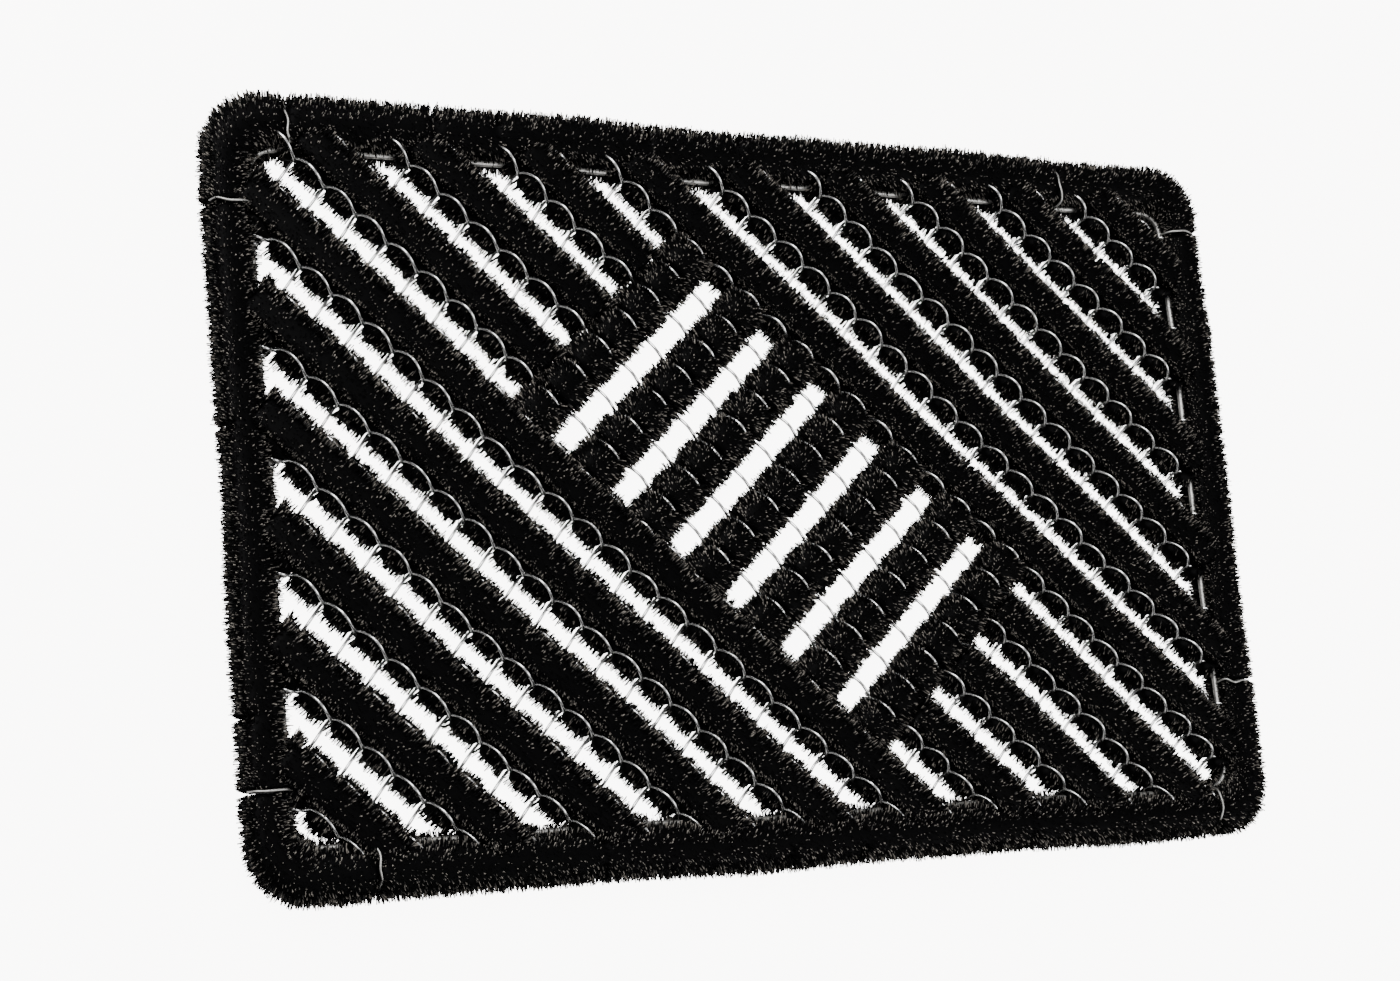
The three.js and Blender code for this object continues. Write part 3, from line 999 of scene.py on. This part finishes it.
def border_heart(shell, start, length):
    """The dark heart of one bundle."""
    stations = max(3, int(length // HEART_STEP))
    t = start + np.linspace(HEART_GAP, length - HEART_GAP, stations)
    on_rod, outward = border_place(t)
    reach = (outer_reach(on_rod, outward) - HEART_INSIDE)[:, None]
    pull = np.zeros(stations)
    for place in groove_places:
        near = 1 - np.abs(distance_from(place, t)) / HEART_GROOVE_SPREAD
        pull = np.maximum(pull, np.clip(near, 0, 1))
    pull = pull[:, None]
    angles = (np.arange(HEART_SIDES) + 0.5) * 2 * math.pi / HEART_SIDES
    distance, height = border_section(
        np.cos(angles)[None], np.sin(angles)[None], reach, side_height(t)[:, None]
    )
    outside = distance > reach / 2
    shares = np.where(outside, HEART_OUTER_SHARE - HEART_PULL_IN * pull, HEART_INNER_SHARE)
    distance = reach / 2 + (distance - reach / 2) * shares
    height = height * (HEART_HEIGHT_SHARE - HEART_PULL_DOWN * pull)
    points = on_rod[:, None] + outward[:, None] * distance[..., None] + UP * height[..., None]
    row = np.arange(stations - 1)[:, None] * HEART_SIDES
    k = np.arange(HEART_SIDES)[None]
    n = (k + 1) % HEART_SIDES
    quads = np.stack([row + k, row + n, row + HEART_SIDES + n, row + HEART_SIDES + k], -1)
    ends = [k[:, ::-1], k + (stations - 1) * HEART_SIDES]
    shell.add(points, [quads.reshape(-1, 4)] + ends, 0.0)


def border_bundle(index):
    """One bundle of the border, from one cut to the next."""
    shell = Shell()
    start, end = cut_places[index], cut_places[(index + 1) % len(CUTS)]
    length = (end - start) % WHOLE
    border_bristles(shell, start, length)
    border_heart(shell, start, length)
    name = BUNDLES[index]
    piece = shell.build(f"brush_border_{name}", bristle)
    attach(piece, "root")
    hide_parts(f"border_{name}")


for bundle_index in range(len(BUNDLES)):
    border_bundle(bundle_index)

# A tie wire's bends: how far out from the rod, and how high
TIE_RADIUS = 0.6
TIE_SIDES = 6
TIE_STEPS = 5
TIE_UNEVENNESS = 0.7
TIE_OUT = np.array([-1.2, 1.5, 6.0, 12.0, 17.5, 20.5])
TIE_HEIGHTS = np.array([2.2, 7.8, 10.2, 10.0, 8.0, 5.0])


def tie_wire(shell, place):
    """A thin wire that comes up from the rod and lies in a parting of the border."""
    on_rod, outward = (value[0] for value in border_place(np.array([place])))
    aside = TIE_UNEVENNESS * rng.standard_normal(len(TIE_OUT))
    line = (
        on_rod
        + TIE_OUT[:, None] * outward
        + aside[:, None] * np.cross(UP, outward)
        + TIE_HEIGHTS[:, None] * UP
    )
    tube(shell, spline(line, TIE_STEPS), TIE_RADIUS, TIE_SIDES)


rod_shell = Shell()
rod_line = rounded_path(ROD_X, ROD_Y, ROD_CORNER, ROD_CORNER_POINTS)
tube(rod_shell, rod_line, ROD_RADIUS, ROD_SIDES, closed=True)
for cut_place in cut_places:
    tie_wire(rod_shell, cut_place)
rod_piece = rod_shell.build("rod_frame", rod_steel)
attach(rod_piece, "root")
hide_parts("frame_rod")

# ---------------------------------------------------------------- stage, light and camera

FLOOR_HALF = 6
FLOOR_GAP = 0.4 * MM

corner_signs = [(-1, -1), (1, -1), (1, 1), (-1, 1)]
floor_corners = [(x * FLOOR_HALF, y * FLOOR_HALF, 0) for x, y in corner_signs]
floor_mesh = bpy.data.meshes.new("floor")
floor_mesh.from_pydata(floor_corners, [], [(0, 1, 2, 3)])
floor_mesh.materials.append(floor_material())
floor = bpy.data.objects.new("floor", floor_mesh)
floor.location.z = -FLOOR_GAP
bpy.context.scene.collection.objects.link(floor)

world = bpy.data.worlds.new("studio")
bpy.context.scene.world = world
world.use_nodes = True
background = world.node_tree.nodes["Background"]
background.inputs["Color"].default_value = (1.0, 1.0, 1.0, 1.0)
backdrop_glow(world.node_tree, WORLD_GLOW, background.inputs["Strength"])


def softbox(name, place, size, power):
    """A rectangular lamp that is aimed at the middle of the mat."""
    data = bpy.data.lights.new(name, "AREA")
    data.shape = "RECTANGLE"
    data.size, data.size_y = size
    data.energy = power
    lamp = bpy.data.objects.new(name, data)
    lamp.location = place
    lamp.rotation_euler = (-Vector(place)).to_track_quat("-Z", "Y").to_euler()
    bpy.context.scene.collection.objects.link(lamp)


# Places and sizes in metres, and powers in watts
softbox("key_light", (-0.9, 1.0, 1.9), (2.2, 1.6), 95)
softbox("fill_light", (1.4, -1.2, 1.7), (2.0, 1.5), 42)

# The camera stands about where the photograph was taken from: its place was fitted to the
# mat's outline and its rows of coils
CAMERA_PLACE = Vector((-559.9, -228.3, 1023.4 + MIDDLE_Z)) * MM
CAMERA_RIGHT = Vector((0.89789, -0.08911, 0.43111))
CAMERA_BACK = Vector((-0.43962, -0.13046, 0.88866))
SENSOR_WIDTH = 36.0
FOCAL_LENGTH = 57.15514
LENS_SHIFT_UP = 0.1071429

camera_data = bpy.data.cameras.new("camera")
camera = bpy.data.objects.new("camera", camera_data)
bpy.context.scene.collection.objects.link(camera)
back = CAMERA_BACK.normalized()
right = (CAMERA_RIGHT - back * CAMERA_RIGHT.dot(back)).normalized()
upward = back.cross(right)
camera.matrix_world = Matrix.Translation(CAMERA_PLACE) @ Matrix(
    (right, upward, back)
).transposed().to_4x4()
camera_data.sensor_fit = "HORIZONTAL"
camera_data.sensor_width = SENSOR_WIDTH
camera_data.lens = FOCAL_LENGTH
camera_data.shift_y = LENS_SHIFT_UP
camera_data.clip_start = 0.01
camera_data.clip_end = 50
bpy.context.scene.camera = camera
